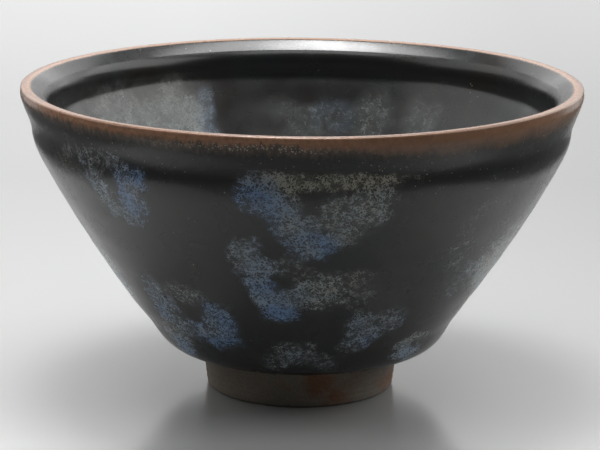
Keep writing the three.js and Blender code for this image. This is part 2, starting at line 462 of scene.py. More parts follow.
def thrown(radius, height, turn):
    """Where a point of the outline ends up. turn is its angle from the front, to the right."""
    upper = height / bowl_height
    places = np.stack([radius * np.sin(turn), -radius * np.cos(turn), height + 0 * turn], axis=-1)
    wall = smooth_step(height, *RINGS_BEGIN) * (1 - smooth_step(height, *RINGS_END))
    swell = HIP_SWELL * np.sin(turn) * np.exp(-(((height - SWELL_HEIGHT) / SWELL_REACH) ** 2))
    swell = swell * smooth_step(radius, *OFF_FOOT)
    spiral = np.sin(2 * np.pi * (height / RING_SPACING + turn / (2 * np.pi)))
    rings = RING_RELIEF * spiral * (0.5 + 0.5 * wobble(places, 40, 3))
    uneven = UNEVENNESS * wobble(places, 26, 5) * smooth_step(height, *LESS_EVEN)
    oval = OVAL * upper * np.cos(2 * turn)
    new_radius = radius + (swell + wall * rings + uneven + oval) * smooth_step(radius, *OFF_AXIS)
    dip = RIM_DIP * np.cos(turn - 2.5) + RIM_DIP * wobble(places, 38, 7)
    new_height = height + upper**3 * dip
    shift = LOWER_SHIFT * (1 - smooth_step(height, *LOWER_SHIFT_ENDS))
    shift = shift + FOOT_SHIFT * (1 - smooth_step(height, *FOOT_SHIFT_ENDS)) + RIM_SHIFT * upper
    return np.stack([new_radius * np.sin(turn) + shift, -new_radius * np.cos(turn), new_height], axis=-1)


front = thrown(np.array(mouth_radius), np.array(bowl_height), np.array(0.0))
print("the front of the lip moves to", front.round(2))

# %% [markdown]
# ## From outline to mesh
#
# The lathe below makes one ring of points for each point of the outline, and joins ring to ring with
# four-sided faces. Where the outline touches the axis, the ring shrinks to a single point. We write it with
# numpy and not with the Screw modifier, because we want each point's angle and height for painting later.
#
# A coat of glaze is a thin shell: the face that shows, and behind it the same face sunk into the wall.

# %% The lathe
SIDES = 384


def lathe(name, outline, lower=None):
    """A closed surface from an outline that keeps the material on its left. lower gives how far down each
    point goes, from its radius, height and turn. Returns the object, and where each vertex was before the
    hand moved it."""
    turns = np.linspace(-np.pi, np.pi, SIDES, endpoint=False)
    radius, height = (np.repeat(column[:, None], SIDES, axis=1) for column in outline.T)
    turn = np.broadcast_to(turns, radius.shape)
    places = thrown(radius, height - (lower(radius, height, turn) if lower else 0), turn)
    vertices = places.reshape(-1, 3) * MM
    closed = bool(np.allclose(outline[0], outline[-1]))
    index = np.arange(len(outline) * SIDES).reshape(len(outline), SIDES)
    if closed:
        index[-1] = index[0]
    for end in (0, -1):
        if outline[end, 0] == 0:
            index[end] = index[end, 0]
    near, far = index[:-1], index[1:]
    quads = np.stack([near, np.roll(near, -1, 1), np.roll(far, -1, 1), far], axis=-1).reshape(-1, 4)
    faces = [tuple(dict.fromkeys(map(int, quad))) for quad in quads]
    used = np.unique(index)
    renumber = np.zeros(index.max() + 1, int)
    renumber[used] = np.arange(len(used))
    mesh = bpy.data.meshes.new(name)
    mesh.from_pydata(vertices[used].tolist(), [], [tuple(int(renumber[i]) for i in face) for face in faces])
    mesh.shade_smooth()
    mesh.set_sharp_from_angle(angle=math.radians(50))
    piece = bpy.data.objects.new(name, mesh)
    bpy.context.scene.collection.objects.link(piece)
    print(f"{name}: {len(outline)} rings, {len(mesh.polygons)} faces")
    places = {
        "turn": turn.reshape(-1)[used],
        "height": height.reshape(-1)[used],
        "radius": radius.reshape(-1)[used],
        "outline": outline,
        "ring": used // SIDES,
    }
    return piece, places


print(f"{SIDES} faces round, {2 * math.pi * mouth_radius / SIDES:.1f} mm wide at the mouth")

# %% Coats
HIDDEN_PITCH = 2.5


def sunk(face, depth):
    """The face moved into the wall, to the left of its way. depth is one for all points or one for each."""
    along = np.gradient(face, axis=0)
    along[face[:, 0] == 0] = (-1, 0)
    into = np.column_stack([-along[:, 1], along[:, 0]])
    return face + into / np.linalg.norm(into, axis=1)[:, None] * np.reshape(depth, (-1, 1))


def coat(face, depth):
    """The closed outline of a coat of glaze whose showing face is given."""
    back = sunk(face, depth)[::-1]
    back = np.vstack([back[0], even(back, HIDDEN_PITCH)[1:-1], back[-1]])
    outline = np.vstack([back, face])
    return outline if outline[0, 0] == 0 else np.vstack([outline, outline[0]])


print(f"the faces that don't show have rings {HIDDEN_PITCH} mm apart")

# %% [markdown]
# ## The glaze's lower edge
#
# The potter held the bowl by its foot and dipped it, so the glaze ends in a wavy line just above the foot. In
# the kiln it melted and ran down, and it stopped in a thick roll. On this bowl it ran furthest on the left
# and on the right, and a little just beside the middle. The runs could be modelled one by one, but lowering
# the edge in the lathe keeps the roll whole.

# %% Glaze runs
# Each run: its angle from the front in degrees, its half width in degrees and its length in millimetres.
RUNS = ((5, 22, 0.6), (66, 26, 1.25), (-66, 27, 1.3), (133, 22, 0.8), (-140, 18, 1.1), (177, 14, 0.5))
RUN_WIDTH = 2.6
EDGE_WOBBLE = 0.16


def turn_between(turn, middle):
    """The angle from middle to turn, in radians, the short way round. middle is in degrees."""
    return (turn - math.radians(middle) + np.pi) % (2 * np.pi) - np.pi


def run_down(radius, height, turn):
    """How far a point of the outer coat moves down."""
    length = EDGE_WOBBLE * wobble(np.stack([30 * np.sin(turn), 30 * np.cos(turn), 0 * turn], axis=-1), 5, 11)
    for middle, half_width, longest in RUNS:
        away = np.abs(turn_between(turn, middle)) / math.radians(half_width)
        length = length + longest * np.cos(np.clip(away, 0, 1) * np.pi / 2) ** 2
    beside = 1 - smooth_step(radius, bead[0], bead[0] + RUN_WIDTH)
    return length * beside * (1 - smooth_step(height, glaze_edge_height + 0.5, glaze_edge_height + HIP_COAT))


print(f"longest run {max(run[2] for run in RUNS)} mm")

# %% Glaze pieces
# The coats' thickness, and the distance between rings on the faces that show, in millimetres.
LIP_COAT = 0.5
WALL_COAT = 0.7
WELL_COAT = 2.0
OUTER_PITCH = 0.65
LIP_PITCH = 0.22
INNER_PITCH = 0.7

outer_face = even(outer_face, OUTER_PITCH)
lip_face = even(lip_face, LIP_PITCH)
inner_face = even(inner_face, INNER_PITCH)
outer_depth = np.interp(outer_face[:, 1], (glaze_edge_height, outer_band[1]), (HIP_COAT, LIP_COAT))
inner_depth = np.interp(
    inner_face[:, 0], (0, WELL_RADIUS, ridge[0], inner_band[0]), (WELL_COAT, WALL_COAT, WALL_COAT, LIP_COAT)
)

outer_glaze, outer_places = lathe("outer_glaze_run", coat(outer_face, outer_depth), run_down)
lip_glaze, lip_places = lathe("lip_glaze_thin", coat(lip_face, LIP_COAT))
inner_glaze, inner_places = lathe("inner_glaze_pooled", coat(inner_face, inner_depth))

# %% [markdown]
# ## The clay body
#
# Under the glaze is one piece of stoneware. Only its foot shows: a ring that was turned with a loop tool when
# the clay was leather hard, with the recess cut out under it. The tool leaves fine grooves, and its last turn
# leaves a small nub in the middle of the recess. The grooves could be a bump in the material, but then the
# foot's edge against the light would be as straight as a pipe's, so they are in the outline.

# %% Clay piece
RING_WIDTH = 4.4
RECESS_DEPTH = 5.6
RECESS_LEAN = 0.6
RECESS_FILLET = 1.2
NUB_RADIUS = 4.5
NUB_HEIGHT = 0.8
GROOVE_DEPTH = 0.06
GROOVE_SPACING = 1.3
FOOT_PITCH = 0.35
# The tool's grooves stop this far from the foot's upper and lower edge.
SMOOTH_EDGE = 0.5

ring_outer = FOOT_RADIUS - FOOT_ROUNDING
ring_inner = ring_outer - RING_WIDTH
recess = ring_inner - RECESS_LEAN
foot_face = np.vstack([
    bezier(point(0, RECESS_DEPTH - NUB_HEIGHT), point(NUB_RADIUS / 2, RECESS_DEPTH - NUB_HEIGHT),
           point(NUB_RADIUS / 2, RECESS_DEPTH), point(NUB_RADIUS, RECESS_DEPTH)),
    bezier(point(recess - RECESS_FILLET, RECESS_DEPTH), point(recess, RECESS_DEPTH),
           point(recess, RECESS_DEPTH - RECESS_FILLET)),
    bezier(point(ring_inner, 0.4), point(ring_inner, 0), point(ring_inner + 0.4, 0)),
    bezier(point(ring_outer, 0), point(FOOT_RADIUS, 0), point(FOOT_RADIUS, FOOT_ROUNDING)),
    point(FOOT_TOP_RADIUS, FOOT_HEIGHT),
])
foot_face = even(foot_face, FOOT_PITCH)
turned = (foot_face[:, 1] > SMOOTH_EDGE) & (foot_face[:, 1] < FOOT_HEIGHT - SMOOTH_EDGE)
turned &= foot_face[:, 0] > FOOT_RADIUS - SMOOTH_EDGE
foot_face[turned, 0] += GROOVE_DEPTH * np.sin(2 * np.pi * foot_face[turned, 1] / GROOVE_SPACING)
hidden_face = np.vstack([
    sunk(outer_face[4:], outer_depth[4:] + FUSE_GAP),
    sunk(lip_face, LIP_COAT + FUSE_GAP),
    sunk(inner_face, inner_depth + FUSE_GAP),
])
clay_outline = np.vstack([foot_face, even(hidden_face, HIDDEN_PITCH)])
clay_body, _ = lathe("clay_body_turned", clay_outline)

# %% [markdown]
# ## The splashes
#
# Before the firing the potter dabbed a second slip on the raw glaze. Each dab flowed out into a ring that is
# thick on its lower side and open in the middle, and it broke up into a net of fine crystals. Where it is
# thick it is slate blue, and where it is thin it is grey to olive.
#
# We paint two values on the mesh for each point: how much slip there is, and how blue it is. The shader then
# draws the net. Each splash is made of a few soft dabs, given by their place and size in millimetres, with
# open ground left between them. The splashes on the far side are open rings of dabs, in rows at the same
# spacing. Noise alone would be quicker, but it puts a splash where the potter put none.
#
# Inside the bowl the glaze lay thicker and the slip melted further in, so only soft clouds of it are left
# there. The broad grey cloud on the left is partly slip and partly painted reflection: it lightens the wall
# where the glow of a side lamp lies on it. A third value, melted, is 0 where the net is crisp and 1 where
# nothing but the cloud remains. A fourth one, specky, says how thickly the glaze is sprinkled with pale
# specks, which is mostly at the neck.

# %% Dabs on the outside
# Each dab: degrees from the front to the right, height, half width and half height in mm, amount, blueness.
FRONT_DABS = (
    # the big splash in the middle of the upper wall
    (-9.3, 57.6, 3.2, 2.8, 0.72, 1), (-6, 55.2, 2.2, 2.6, 0.7, 0.9), (-3.4, 51.2, 2.3, 3.2, 0.72, 0.7),
    (0, 47, 2.6, 2.4, 0.76, 0.7), (3.2, 44.8, 3, 2.4, 0.78, 0.8), (-2.5, 55.2, 2, 3.2, 0.44, 0.09),
    (-3, 59.6, 6.5, 1.5, 0.76, 0.05), (9, 59.9, 8.5, 1.3, 0.62, 0), (17, 60.2, 5, 0.8, 0.22, 0),
    (15, 56.4, 3.6, 2.2, 0.4, 0.1), (11, 53.2, 5, 3.2, 0.6, 0.1), (9, 48.2, 2.8, 2.6, 0.6, 0.2),
    (3, 50.2, 4, 1.6, 0.52, 0.2), (-8, 61, 4, 1.1, 0.36, 0.18),
    # the one under it, which leans to the right
    (-13, 43, 2.4, 2.6, 0.66, 0.4), (-10.8, 39.6, 3, 2.6, 0.66, 0.45), (-10.5, 35.4, 2.4, 3, 0.72, 0.8),
    (-8, 31, 2.6, 2.2, 0.7, 0.6), (-5, 28.4, 3.2, 2.2, 0.8, 0.85), (-3, 31.6, 3.2, 1.8, 0.6, 0.4),
    (3.5, 33, 3.8, 3.2, 0.52, 0.2), (-4, 39.8, 3.6, 1.8, 0.36, 0.2), (2, 37.4, 3, 1.6, 0.34, 0.1),
    (11, 35.4, 5, 2.2, 0.36, 0), (16, 32.4, 3.5, 2.4, 0.3, 0), (9, 31.4, 3, 1.8, 0.3, 0),
    # low on the right
    (19, 24, 2.6, 3.4, 0.48, 0.27), (27, 24.2, 3.2, 2.4, 0.44, 0.32), (22, 21.4, 2.8, 2.2, 0.6, 0.63),
    (18, 18.2, 2.4, 1.4, 0.36, 0.27),
    # above the foot
    (-3, 16, 3.2, 2, 0.44, 0.23), (0, 18.2, 3.4, 1.2, 0.28, 0.09), (10, 14, 1.8, 2, 0.36, 0.18),
    (-9, 13.4, 2.4, 1.4, 0.32, 0.18),
    # the ring low on the left
    (-46, 25.5, 3, 5, 0.55, 0.6), (-35, 30.2, 4.6, 2, 0.32, 0.09), (-25, 24.2, 2.8, 3.2, 0.64, 0.75),
    (-30, 19.2, 4.2, 2.2, 0.76, 0.81), (-40, 20.6, 3, 2.4, 0.4, 0.5),
    # high on the left
    (-36.8, 57, 2.9, 3, 0.8, 0.9), (-37.5, 52.6, 2.6, 2.6, 0.74, 0.85), (-39.5, 48.6, 2.4, 1.8, 0.55, 0.7),
    (-46, 61, 7.5, 1.7, 0.48, 0.3), (-47, 57, 2.4, 2.2, 0.48, 0.36), (-45.5, 53.4, 2.2, 2.6, 0.52, 0.54),
    (-44, 49.6, 2.2, 2, 0.44, 0.36), (-56, 57.5, 3.5, 3.5, 0.24, 0.09),
    # a faint one on the right
    (40, 46.2, 2, 3, 0.2, 0.1), (42, 39.8, 2.8, 3.4, 0.22, 0.1), (48, 32.5, 4.2, 4, 0.25, 0.3),
    (45, 50.6, 4, 1.8, 0.18, 0), (52, 42, 3.5, 4.5, 0.16, 0),
)
print(f"{len(FRONT_DABS)} dabs outside")

# %% Dabs on the inside
INSIDE_DABS = (
    # the broad cloud on the left, part slip and part painted reflection of a side lamp, with a blue stripe at
    # its end
    (-128, 54.0, 13, 5.5, 0.5, 0.0), (-144, 53.0, 5.0, 5.5, 0.6, 0.0), (-150, 51.6, 1.6, 4.2, 0.8, 0.0),
    (-154, 57.6, 1.3, 1.6, 0.5, 0.55), (-153.6, 54.0, 1.4, 2.2, 0.55, 0.6),
    (-152.8, 49.6, 1.7, 3.6, 0.5, 0.6),
    # soft ones in the middle and on the right
    (178, 50.5, 5.5, 3.0, 0.3, 0.05), (171, 52.0, 3.2, 2.6, 0.35, 0.6), (160, 53.0, 3.6, 4.0, 0.35, 0.0),
    (186, 54.0, 3.0, 2.0, 0.2, 0.0), (146, 53.0, 3.6, 3.6, 0.3, 0.0), (134, 54.0, 5.5, 4.5, 0.08, 0.0),
)
print(f"{len(INSIDE_DABS)} dabs inside")

# %% Rings on the far side
# Rows of rings: first and last angle, how many, height, half width and half height.
FAR_ROWS = ((84, 266, 5, 52, 13, 8.5), (66, 290, 6, 32, 11, 8.5), (50, 310, 6, 18, 6, 4.5))
INSIDE_ROWS = ((-90, 90, 5, 53, 13, 8.5), (0, 315, 8, 36, 9, 8), (20, 308, 5, 22, 6, 4.5))
RING_DABS = 9


def rings_of_dabs(rows, seed, strength):
    """Dabs set around open rings, bluest low down, with chance in everything."""
    random = np.random.default_rng(seed)
    dabs = []
    for first, last, count, height, half_width, half_height in rows:
        for turn in np.linspace(first, last, count) + random.uniform(-6, 6, count):
            middle = height + random.uniform(-2.5, 2.5)
            wide, tall = half_width * random.uniform(0.5, 0.8), half_height * random.uniform(0.5, 0.75)
            blue = random.uniform(0.2, 1)
            opening = random.uniform(0.1, 2.2)
            ways = np.linspace(0, 2 * np.pi, RING_DABS, endpoint=False)
            for way in ways + random.uniform(-0.25, 0.25, RING_DABS):
                low = 0.5 - 0.5 * np.sin(way)
                amount = strength * (0.2 + 0.75 * (0.5 - 0.5 * np.cos(way - opening)))
                dab_turn = turn + wide * np.cos(way) * (1 + 0.3 * np.sin(way)) * 1.2
                dabs.append((dab_turn, middle + tall * np.sin(way), wide * random.uniform(0.25, 0.6),
                             tall * random.uniform(0.25, 0.6), amount, blue * low))
    return dabs


far_dabs = rings_of_dabs(FAR_ROWS, 31, 1)
hidden_dabs = rings_of_dabs(INSIDE_ROWS, 33, 0.6)
print(f"{len(far_dabs)} dabs on the far side, {len(hidden_dabs)} on the hidden part of the inside")

# %% Painting the splashes
DAB_SPREAD = 1.35
# A dab is full up to its core and gone at its edge, as shares of its half width and half height.
DAB_CORE = 0.55
DAB_EDGE = 1.5
# Where dabs overlap, the slip is at most this many times as thick as in the thicker one.
OVERLAP = 1.15
INSIDE_MELTED = 0.75


def paint(piece, name, values):
    """Writes one number for each vertex, for the shaders to read."""
    attribute = piece.data.attributes.new(name, "FLOAT", "POINT")
    attribute.data.foreach_set("value", values.astype(np.float32))


def paint_dabs(piece, places, dabs, melted):
    """Writes the attributes slip, blueness, melted and specky on a piece."""
    slip = np.zeros(len(places["turn"]))
    blueness = np.zeros_like(slip)
    spots = np.column_stack([
        places["radius"] * np.sin(places["turn"]), places["radius"] * np.cos(places["turn"]), places["height"]
    ])
    ragged = 0.14 * wobble(spots, 5, 21) + 0.16 * wobble(spots, 2.2, 22)
    patchy = wobble(spots, 4.5, 23)
    for turn, height, half_width, half_height, amount, blue in dabs:
        half_width, half_height = DAB_SPREAD * half_width, DAB_SPREAD * half_height
        across = turn_between(places["turn"], turn) * places["radius"] / half_width
        up = (places["height"] - height) / half_height
        fade = smooth_step(np.hypot(across, up) + ragged, DAB_CORE, DAB_EDGE)
        dab = (1 - fade) * amount * (0.85 + 0.15 * patchy)
        total = slip + dab
        blueness = (blueness * slip + blue * dab) / np.maximum(total, 1e-6)
        slip = np.maximum(slip, np.minimum(total, OVERLAP * np.maximum(slip, dab)))
    paint(piece, "slip", slip)
    paint(piece, "blueness", np.clip(blueness * (1 + 0.4 * patchy), 0, 1))
    paint(piece, "melted", np.full_like(slip, melted))
    # The specks lie at the neck, most of them right of the middle and some on the left.
    neck_share = smooth_step(places["height"], 53, 60) * (1 - melted)
    right = np.exp(-((turn_between(places["turn"], 30) / 0.5) ** 2))
    left = np.exp(-((turn_between(places["turn"], -40) / 0.25) ** 2))
    paint(piece, "specky", neck_share * (0.08 + 0.34 * right + 0.12 * left) - 0.1 * melted)
    print(f"{piece.name}: slip on {np.mean(slip > 0.2):.0%} of its points")


paint_dabs(outer_glaze, outer_places, list(FRONT_DABS) + far_dabs, 0)
paint_dabs(inner_glaze, inner_places, list(INSIDE_DABS) + hidden_dabs, INSIDE_MELTED)
paint_dabs(lip_glaze, lip_places, [], 0)

# %% [markdown]
# ## How far from the crest
#
# Over the lip the glaze thins and turns brown. How far down the brown reaches depends on the way along the
# surface, not on the height: further on the outside, where the glaze could run off, and less on the inside.
# So we measure that way for each point and paint it, as a number that is 0 on the crest, 1 where the brown
# ends and 2 where the mottled fringe under it ends.
#
# A second number says how blurred the fringe is. It is crisp and streaky at the front, and softer on the
# right, where the glaze lay thicker, on the left, and all round the inside.

# %% Distance from the crest
# Millimetres along the surface from the crest, outside and inside, for the painted numbers in LIP_MARKS.
OUTSIDE_REACH = (0, 1.9, 4.2, 8)
INSIDE_REACH = (0, 1.05, 1.7, 3.4)
LIP_MARKS = (0, 1, 2, 4)
# Where the fringe is softest, in degrees, and how much wider and softer it gets.
SOFT_RIGHT, SOFT_LEFT = 75, -80
WIDER_BY = 0.65
LEFT_SOFTNESS = 0.4
INSIDE_SOFTNESS = 0.8

whole_face = np.vstack([outer_face, lip_face, inner_face])
steps = np.linalg.norm(np.diff(whole_face, axis=0), axis=1)
way = np.r_[0, np.cumsum(steps)]
way -= way[whole_face[:, 1].argmax()]


def paint_lip(piece, places):
    """Writes the attributes lip_mark and lip_soft on a piece."""
    gaps = np.linalg.norm(places["outline"][:, None] - whole_face[None], axis=2)
    from_crest = way[gaps.argmin(axis=1)][places["ring"]]
    soft = smooth_step(np.cos(turn_between(places["turn"], SOFT_RIGHT)), 0.1, 0.75)
    wider = 1 + WIDER_BY * soft + 0.12 * np.cos(3 * places["turn"] + 1)
    outside = np.interp(-from_crest / wider, OUTSIDE_REACH, LIP_MARKS)
    inside = np.interp(from_crest, INSIDE_REACH, LIP_MARKS)
    lip_mark = np.where(from_crest < 0, outside, inside)
    paint(piece, "lip_mark", lip_mark)
    left = LEFT_SOFTNESS * smooth_step(np.cos(turn_between(places["turn"], SOFT_LEFT)), 0.2, 0.8)
    paint(piece, "lip_soft", np.where(from_crest < 0, soft + left, INSIDE_SOFTNESS))
    print(f"{piece.name}: brown on {np.mean(lip_mark < 1):.0%} of its points")


for piece, places in ((outer_glaze, outer_places), (lip_glaze, lip_places), (inner_glaze, inner_places)):
    paint_lip(piece, places)

# %% [markdown]
# ## Tenmoku glaze
#
# Tenmoku is a stoneware glaze with 8 to 10 percent of iron, poured thick and fired to about 1280 degrees. It
# is a glass, so its IOR would be 1.5, but that much iron brings it to 1.57, and fine crystals in its skin
# dull the sharp gloss of glass to satin. Where it is thick it is black. Where it thins, over the lip, it
# breaks to rust brown, and between the two lies a mottled fringe that potters call hare's fur.
#
# One recipe makes the glaze for all three coats, so that no seam shows between them. A picture wrapped round
# the bowl would blur close up and show a seam, so every pattern is noise in three dimensions, in real sizes:
# the net of crystals has meshes of about 0.8 mm, and the orange peel of the glass is 1.6 mm wide.

# %% The black ground
DRIFT_SIZE = 14 * MM


def black_ground(tree, where):
    """Black with broad drifts between brown-black and blue-black."""
    drift = add(tree, "TexNoise", {"Vector": where, "Scale": 1 / DRIFT_SIZE, "Detail": 4})
    share = add(tree, "MapRange", {0: drift, 1: 0.35, 2: 0.65})
    return add(tree, "Mix", {0: share, 6: colour("#211e1c"), 7: colour("#1c1f20")}, data_type="RGBA")


print(f"drifts {DRIFT_SIZE / MM:.0f} mm across")

# %% [markdown]
# ### The net of crystals
#
# As the slip melts, crystals grow in it in short winding threads that meet and part again. The edges of a
# Voronoi pattern would give a net as well, but its meshes are straight-sided, like crazed varnish. A level
# line of a noise field winds as crystals do. Two fields that cross give a net, and a third one breaks the
# threads and makes some of them fainter.

# %% The net of crystals
NET_MESH = 0.78 * MM
THREAD_LENGTH = 1.3 * MM
# Half a thread's width, in units of the noise: what full slip adds, and the least and the most by chance.
WIDTH_FROM_SLIP = 0.07
WIDTH_BY_CHANCE = (-0.036, 0.012)
# How softly a thread ends at its sides, in the same units.
THREAD_EDGE = (-0.014, 0.012)


def crystal_net(tree, where, slip):
    """How much crystal there is: short winding threads, wider where the slip is thick."""
    fields = add(tree, "TexNoise", {"Vector": where, "Scale": 1 / NET_MESH, "Detail": 1.5})
    fields = add(tree, "SeparateColor", {0: fields.outputs["Color"]})
    breaks = add(tree, "TexNoise", {"Vector": where, "Scale": 1 / THREAD_LENGTH, "Detail": 2})
    least, most = WIDTH_BY_CHANCE
    loose = add(tree, "MapRange", {0: breaks, 1: 0.35, 2: 0.65, 3: least, 4: most})
    width = add(tree, "Math", {0: slip, 1: WIDTH_FROM_SLIP, 2: loose}, operation="MULTIPLY_ADD")
    threads = None
    for field in ("Red", "Green"):
        off = add(tree, "Math", {0: fields.outputs[field], 1: 0.5}, operation="SUBTRACT")
        off = add(tree, "Math", {0: off}, operation="ABSOLUTE")
        room = add(tree, "Math", {0: width, 1: off}, operation="SUBTRACT")
        line = add(tree, "MapRange", {0: room, 1: THREAD_EDGE[0], 2: THREAD_EDGE[1]})
        threads = add(tree, "Math", {0: threads, 1: line}, operation="MAXIMUM") if threads else line
    present = add(tree, "MapRange", {0: slip, 1: 0.05, 2: 0.35})
    return add(tree, "Math", {0: threads, 1: present}, operation="MULTIPLY")


print(f"meshes {NET_MESH / MM:.2f} mm wide")

# %% The colours of the crystals
PATCH_SIZE = 3 * MM
# Between these heights the threads turn olive.
OLIVE_FROM, OLIVE_AT = 56 * MM, 60 * MM


def crystal_colour(tree, where, height, blueness, melted):
    """Grey-green to olive threads, olive near the neck, and slate blue where the slip is blue."""
    patches = add(tree, "TexNoise", {"Vector": where, "Scale": 1 / PATCH_SIZE, "Detail": 2})
    near_neck = add(tree, "MapRange", {0: height, 1: OLIVE_FROM, 2: OLIVE_AT, 3: 0.0, 4: 0.5})
    olive_share = add(tree, "Math", {0: patches, 1: near_neck}, operation="ADD")
    most = add(tree, "MapRange", {0: melted, 3: 1.0, 4: 0.2})
    olive_share = add(tree, "MapRange", {0: olive_share, 1: 0.4, 2: 0.8, 4: most})
    grey = add(tree, "Mix", {0: olive_share, 6: colour("#b0b9b7"), 7: colour("#b3b0a0")}, data_type="RGBA")
    return add(tree, "Mix", {0: blueness, 6: grey, 7: colour("#7b9fcd")}, data_type="RGBA")


print(f"patches of grey and olive {PATCH_SIZE / MM:.0f} mm across")

# %% [markdown]
# ### The brown lip
#
# The brown could end in a clean line at the painted distance, but real glaze runs off the lip in drifts and
# fine streaks. So we add noise to the distance before we use it: broad drifts all round, and streaks drawn
# out downward where the fringe is crisp. Under the brown lies the mottled fringe, with a row of pale dots
# where the glaze only just covers the clay.

# %% The lip's ragged level
FUR_WIDTH = 0.9 * MM
FUR_STRETCH = 0.3
LIP_DRIFT_SIZE = 7 * MM


def ragged_level(tree, where, lip_mark, soft):
    """The painted distance from the crest, made ragged: in drifts all round, in streaks where it is crisp."""
    streaks = add(tree, "Mapping", {"Vector": where, "Scale": (1, 1, FUR_STRETCH)})
    fur = add(tree, "TexNoise", {"Vector": streaks, "Scale": 1 / FUR_WIDTH, "Detail": 3})
    drift = add(tree, "TexNoise", {"Vector": where, "Scale": 1 / LIP_DRIFT_SIZE, "Detail": 2})
    ragged = add(tree, "MapRange", {0: fur, 1: 0.3, 2: 0.7, 3: -0.3, 4: 0.3})
    crisp = add(tree, "MapRange", {0: soft, 3: 1.0, 4: 0.25})
    ragged = add(tree, "Math", {0: ragged, 1: crisp}, operation="MULTIPLY")
    ragged = add(tree, "Math", {0: drift, 1: 0.8, 2: ragged}, operation="MULTIPLY_ADD")
    level = add(tree, "Math", {0: lip_mark, 1: ragged}, operation="ADD")
    return add(tree, "Math", {0: level, 1: 0.4}, operation="SUBTRACT")


print(f"streaks {FUR_WIDTH / MM:.1f} mm wide, {FUR_WIDTH / FUR_STRETCH / MM:.0f} mm long")

# %% The fringe under the brown
GRAIN_SPACING = 0.55 * MM
# The level at which the row of pale dots lies, and half its width.
GRAIN_ROW = (1.3, 0.32)


def fringed(tree, where, level, soft, mottle, body):
    """The colour of the body with the mottled fringe and its row of pale dots over it."""
    fringe = add(tree, "Mix", {0: mottle, 6: colour("#463a30"), 7: colour("#9c8876")}, data_type="RGBA")
    most = add(tree, "MapRange", {0: soft, 3: 0.9, 4: 0.35})
    fringe_share = add(tree, "MapRange", {0: level, 1: 1.1, 2: 2.2, 3: most, 4: 0.0})
    body = add(tree, "Mix", {0: fringe_share, 6: body, 7: fringe}, data_type="RGBA")
    grains = add(tree, "TexVoronoi", {"Vector": where, "Scale": 1 / GRAIN_SPACING})
    clear = add(tree, "MapRange", {0: soft, 1: 0.12, 2: 0.4, 3: 0.95, 4: 0.0})
    grain_share = add(tree, "MapRange", {0: grains, 1: 0.22, 2: 0.4, 3: clear, 4: 0.0})
    row = add(tree, "Math", {0: level, 1: GRAIN_ROW[0], 2: GRAIN_ROW[1]}, operation="COMPARE")
    grain_share = add(tree, "Math", {0: grain_share, 1: row}, operation="MULTIPLY")
    return add(tree, "Mix", {0: grain_share, 6: body, 7: colour("#c0b0a2")}, data_type="RGBA")


print(f"pale dots {GRAIN_SPACING / MM:.2f} mm apart")

# %% The brown itself
MOTTLE_SIZE = 0.8 * MM


def lip_colour(tree, where, lip_mark, soft, body):
    """The brown glaze on the crest and its fringe, over the body's colour: (colour, brown share)."""
    level = ragged_level(tree, where, lip_mark, soft)
    mottle = add(tree, "TexNoise", {"Vector": where, "Scale": 1 / MOTTLE_SIZE, "Detail": 4})
    body = fringed(tree, where, level, soft, mottle, body)
    rust = add(tree, "Mix", {0: mottle, 6: colour("#946550"), 7: colour("#bd9578")}, data_type="RGBA")
    tan = add(tree, "Mix", {0: mottle, 6: colour("#7f5a43"), 7: colour("#a27b5f")}, data_type="RGBA")
    rust = add(tree, "Mix", {0: soft, 6: rust, 7: tan}, data_type="RGBA")
    crest_share = add(tree, "MapRange", {0: level, 1: -0.1, 2: 0.9, 3: 0.85, 4: 0.0})
    rust = add(tree, "Mix", {0: crest_share, 6: rust, 7: colour("#6e5443")}, data_type="RGBA")
    edge = add(tree, "MapRange", {0: soft, 3: 1.15, 4: 1.9})
    brown_share = add(tree, "MapRange", {0: level, 1: 0.9, 2: edge, 3: 1.0, 4: 0.0})
    return add(tree, "Mix", {0: brown_share, 6: body, 7: rust}, data_type="RGBA"), brown_share


print(f"mottling {MOTTLE_SIZE / MM:.1f} mm wide")

# %% Pale specks
SPECK_SPACING = 1.3 * MM
# A speck's radius, as a share of the spacing: where it starts to fade, and where it ends.
SPECK_RADIUS = (0.06, 0.11)
CROWD_SIZE = 9 * MM


def speck_share(tree, where, specky):
    """Tiny pale specks, in crowds where the glaze is specky."""
    spots = add(tree, "TexVoronoi", {"Vector": where, "Scale": 1 / SPECK_SPACING})
    dots = add(tree, "MapRange", {0: spots, 1: SPECK_RADIUS[0], 2: SPECK_RADIUS[1], 3: 0.9, 4: 0.0})
    crowd = add(tree, "TexNoise", {"Vector": where, "Scale": 1 / CROWD_SIZE, "Detail": 1})
    crowd = add(tree, "Math", {0: crowd, 1: specky}, operation="ADD")
    crowded = add(tree, "MapRange", {0: crowd, 1: 0.62, 2: 0.72})
    return add(tree, "Math", {0: dots, 1: crowded}, operation="MULTIPLY")


print(f"specks {2 * SPECK_RADIUS[1] * SPECK_SPACING / MM:.2f} mm across")

# %% Splashes over the ground
# The cloud between the threads: its grain, and how strong it is where the net is crisp and where it melted.
CLOUD_SIZE = 2.5 * MM
HAZE_CRISP, HAZE_MELTED = 0.23, 0.31
THREAD_COVER = 0.82


